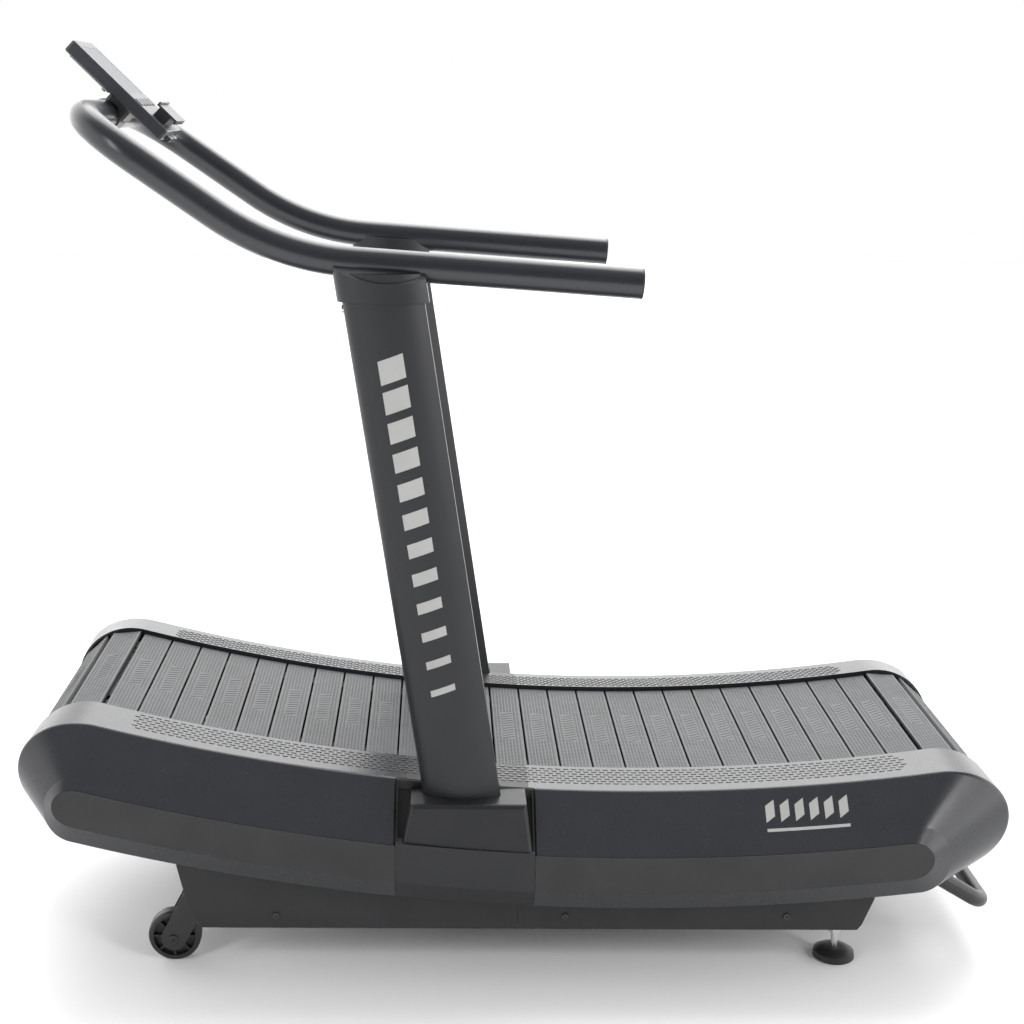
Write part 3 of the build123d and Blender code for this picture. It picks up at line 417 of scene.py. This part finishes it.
def make_rail_studs(side, name):
    """Rows of short raised dashes on one foot rail, with a round outline at both ends."""
    verts = []
    faces = []
    pitch_x = 0.0145
    rows = 7
    pitch_y = GRIP_WIDTH / rows
    edge_gap = 0.006
    end_round = 0.018
    stud = (0.0105, 0.0050, 0.0009)
    count = int((GRIP_REAR - GRIP_FRONT) / pitch_x)
    for j in range(rows):
        off = (j - (rows - 1) / 2) * pitch_y
        y = side * (SHELL_IN_Y + edge_gap + GRIP_WIDTH / 2 + off)
        short = end_round * (1 - (1 - (2 * off / GRIP_WIDTH) ** 2) ** 0.5)
        for i in range(count + 1):
            x = GRIP_FRONT + (i + 0.5 * (j % 2)) * pitch_x
            if GRIP_FRONT + short <= x <= GRIP_REAR - short:
                add_stud(verts, faces, rail_spot(x, y), *stud)
    studs = new_mesh("rail_studs_" + name, verts, faces)
    studs.data.materials.append(MATERIALS["grip"])
    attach(studs, "machine")
    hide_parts("grips_" + name)


# ---------------------------------------------------------------- painted marks

def upright_side(dx):
    """Bulge of the upright's side at dx from its middle line, on the arc through a, b and c."""
    a = Vector((0.0685, 0.020))
    b = Vector((0.010, 0.038))
    c = Vector((-0.0505, 0.027))
    d = 2 * (a.x * (b.y - c.y) + b.x * (c.y - a.y) + c.x * (a.y - b.y))
    sq = (a.length_squared, b.length_squared, c.length_squared)
    cx = (sq[0] * (b.y - c.y) + sq[1] * (c.y - a.y) + sq[2] * (a.y - b.y)) / d
    cy = (sq[0] * (c.x - b.x) + sq[1] * (a.x - c.x) + sq[2] * (b.x - a.x)) / d
    r = (a - Vector((cx, cy))).length
    return cy + (r * r - (dx - cx) ** 2) ** 0.5


def add_patch(verts, faces, surface, left, right, low, high, slant, steps):
    """Thin painted parallelogram laid on a surface given by a function of two lengths."""
    first = len(verts)
    for i in range(steps + 1):
        u = left + (right - left) * i / steps
        for v in (low, high):
            verts.append(surface(u, v + slant * (u - left)))
    for i in range(steps):
        a = first + 2 * i
        faces.append((a, a + 2, a + 3, a + 1))


def make_upright_mark(side, name):
    """Column of slanted painted bars that get thinner towards the floor."""
    verts = []
    faces = []

    def surface(dx, z):
        x = UPRIGHT_X - UPRIGHT_SLOPE * (z - UPRIGHT_LOW) + dx
        return Vector((x, side * (UPRIGHT_Y + upright_side(dx) + 0.00015), z))

    z = 1.120
    bars = 12
    tallest = 0.040
    shrink = 0.0026
    step = 0.052
    slant = 0.35
    for i in range(bars):
        high = tallest - shrink * i
        add_patch(verts, faces, surface, -0.024, 0.020, z - high, z, slant, 8)
        z -= step
    mark = new_mesh("upright_mark_" + name, verts, faces if side < 0 else [f[::-1] for f in faces])
    mark.data.materials.append(PAINT)
    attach(mark, "machine")


def make_shell_mark(side, name):
    """Small group of slanted painted bars on the rear part of a shell."""
    verts = []
    faces = []

    def surface(x, down):
        share = down / INLAY_TOP
        y = CREASE_Y + (INLAY_Y - CREASE_Y) * share
        r = DECK_R + down
        run = x - ARC.x
        lift = 0.0002
        z = ARC.z - (r * r - run * run) ** 0.5 + lift * 0.7
        return Vector((x, side * (y + lift * 0.7), z))

    start = 0.440
    bars = 6
    pitch = 0.026
    wide = 0.016
    for i in range(bars):
        x = start + pitch * i
        add_patch(verts, faces, surface, x, x + wide, 0.024, 0.046, -0.5, 3)
    add_patch(verts, faces, surface, start, start + 0.146, 0.054, 0.058, 0.0, 10)
    mark = new_mesh("shell_mark_" + name, verts, faces if side > 0 else [f[::-1] for f in faces])
    mark.data.materials.append(PAINT)
    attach(mark, "machine")


# ---------------------------------------------------------------- stage, light and camera

def make_stage():
    """Plain pale floor."""
    size = 14.0
    corners = [(-size, -size, 0), (size, -size, 0), (size, size, 0), (-size, size, 0)]
    floor = new_mesh("floor", corners, [(0, 1, 2, 3)])
    mat, tree, shader = material("floor_paint")
    coords = tree.nodes.new("ShaderNodeTexCoord")
    cloud = noise(tree, coords, 0.7, 3.0)
    tone = spread(tree, cloud, "Fac", 0.0, 1.0)
    mix = two_tone(tree, tone, (0.88, 0.88, 0.88), (0.90, 0.90, 0.90))
    link(tree, mix, "Result", shader, "Base Color")
    shader.inputs["Roughness"].default_value = 0.9
    shader.inputs["Specular IOR Level"].default_value = 0.1
    floor.data.materials.append(mat)


def area_light(name, place, target, size, power):
    """Soft oblong lamp aimed at a point."""
    lamp = bpy.data.lights.new(name, "AREA")
    lamp.shape = "RECTANGLE"
    lamp.size = size[0]
    lamp.size_y = size[1]
    lamp.energy = power
    obj = bpy.data.objects.new(name, lamp)
    bpy.context.scene.collection.objects.link(obj)
    obj.location = place
    aim = Vector(target) - Vector(place)
    obj.rotation_euler = aim.to_track_quat("-Z", "Y").to_euler()


def highest(tree, a, b):
    """Larger of two values."""
    node = tree.nodes.new("ShaderNodeMath")
    node.operation = "MAXIMUM"
    tree.links.new(a.outputs[0], node.inputs[0])
    tree.links.new(b.outputs[0], node.inputs[1])
    return node


def make_light():
    """White studio: bright wall behind, soft ceiling, side panels, dim room in front, and one high sun."""
    world = bpy.data.worlds.new("studio")
    bpy.context.scene.world = world
    world.use_nodes = True
    tree = world.node_tree
    lit = tree.nodes["Background"]
    coords = tree.nodes.new("ShaderNodeTexCoord")
    parts = tree.nodes.new("ShaderNodeSeparateXYZ")
    link(tree, coords, "Generated", parts, "Vector")
    wall = ramp(tree, parts, "Y", -0.05, 0.45, ROOM_LIGHT, WALL_LIGHT)
    ceiling = ramp(tree, parts, "Z", 0.45, 0.95, 0.0, CEILING_LIGHT)
    right = ramp(tree, parts, "X", 0.60, 0.85, 0.0, RIGHT_LIGHT)
    left = ramp(tree, parts, "X", -0.62, -0.88, 0.0, LEFT_LIGHT)
    total = highest(tree, highest(tree, wall, ceiling), highest(tree, right, left))
    link(tree, total, "Value", lit, "Strength")
    lit.inputs["Color"].default_value = (1, 1, 1, 1)
    plain = tree.nodes.new("ShaderNodeBackground")
    plain.inputs["Color"].default_value = (1, 1, 1, 1)
    plain.inputs["Strength"].default_value = 1.0
    rays = tree.nodes.new("ShaderNodeLightPath")
    pick = tree.nodes.new("ShaderNodeMixShader")
    link(tree, rays, "Is Camera Ray", pick, "Fac")
    tree.links.new(lit.outputs[0], pick.inputs[1])
    tree.links.new(plain.outputs[0], pick.inputs[2])
    tree.links.new(pick.outputs[0], tree.nodes["World Output"].inputs["Surface"])
    area_light("left_strip", (-3.0, -3.4, 2.6), (-0.2, -0.3, 0.5), (0.7, 2.2), 55)
    area_light("right_strip", (3.2, -3.2, 2.4), (0.2, -0.3, 0.4), (0.7, 2.2), 60)
    sun = bpy.data.lights.new("high_sun", "SUN")
    sun.energy = SUN_LIGHT
    sun.angle = radians(50)
    obj = bpy.data.objects.new("high_sun", sun)
    bpy.context.scene.collection.objects.link(obj)
    obj.rotation_euler = (radians(-36), radians(6), 0)


def make_camera():
    """Camera at the photograph's angle."""
    turn = CAMERA_TURN
    pitch = CAMERA_PITCH
    roll = CAMERA_ROLL
    right = Vector((cos(turn), -sin(turn), 0))
    ahead = Vector((sin(turn) * cos(pitch), cos(turn) * cos(pitch), -sin(pitch)))
    up = right.cross(ahead)
    cam_x = right * cos(roll) + up * sin(roll)
    cam_y = up * cos(roll) - right * sin(roll)
    data = bpy.data.cameras.new("camera")
    data.sensor_width = 36.0
    data.lens = CAMERA_LENS
    data.shift_x = CAMERA_SHIFT[0]
    data.shift_y = CAMERA_SHIFT[1]
    data.clip_end = 60.0
    obj = bpy.data.objects.new("camera", data)
    bpy.context.scene.collection.objects.link(obj)
    turn_matrix = Matrix((cam_x, cam_y, -ahead)).transposed().to_4x4()
    obj.matrix_world = Matrix.Translation(CAMERA_SPOT) @ turn_matrix
    bpy.context.scene.camera = obj


dress_cad_nodes()
make_treads()
for side, name in ((-1, "left"), (1, "right")):
    make_rail_studs(side, name)
    make_upright_mark(side, name)
    make_shell_mark(side, name)
make_stage()
make_light()
make_camera()
bpy.context.scene.view_settings.view_transform = "Standard"
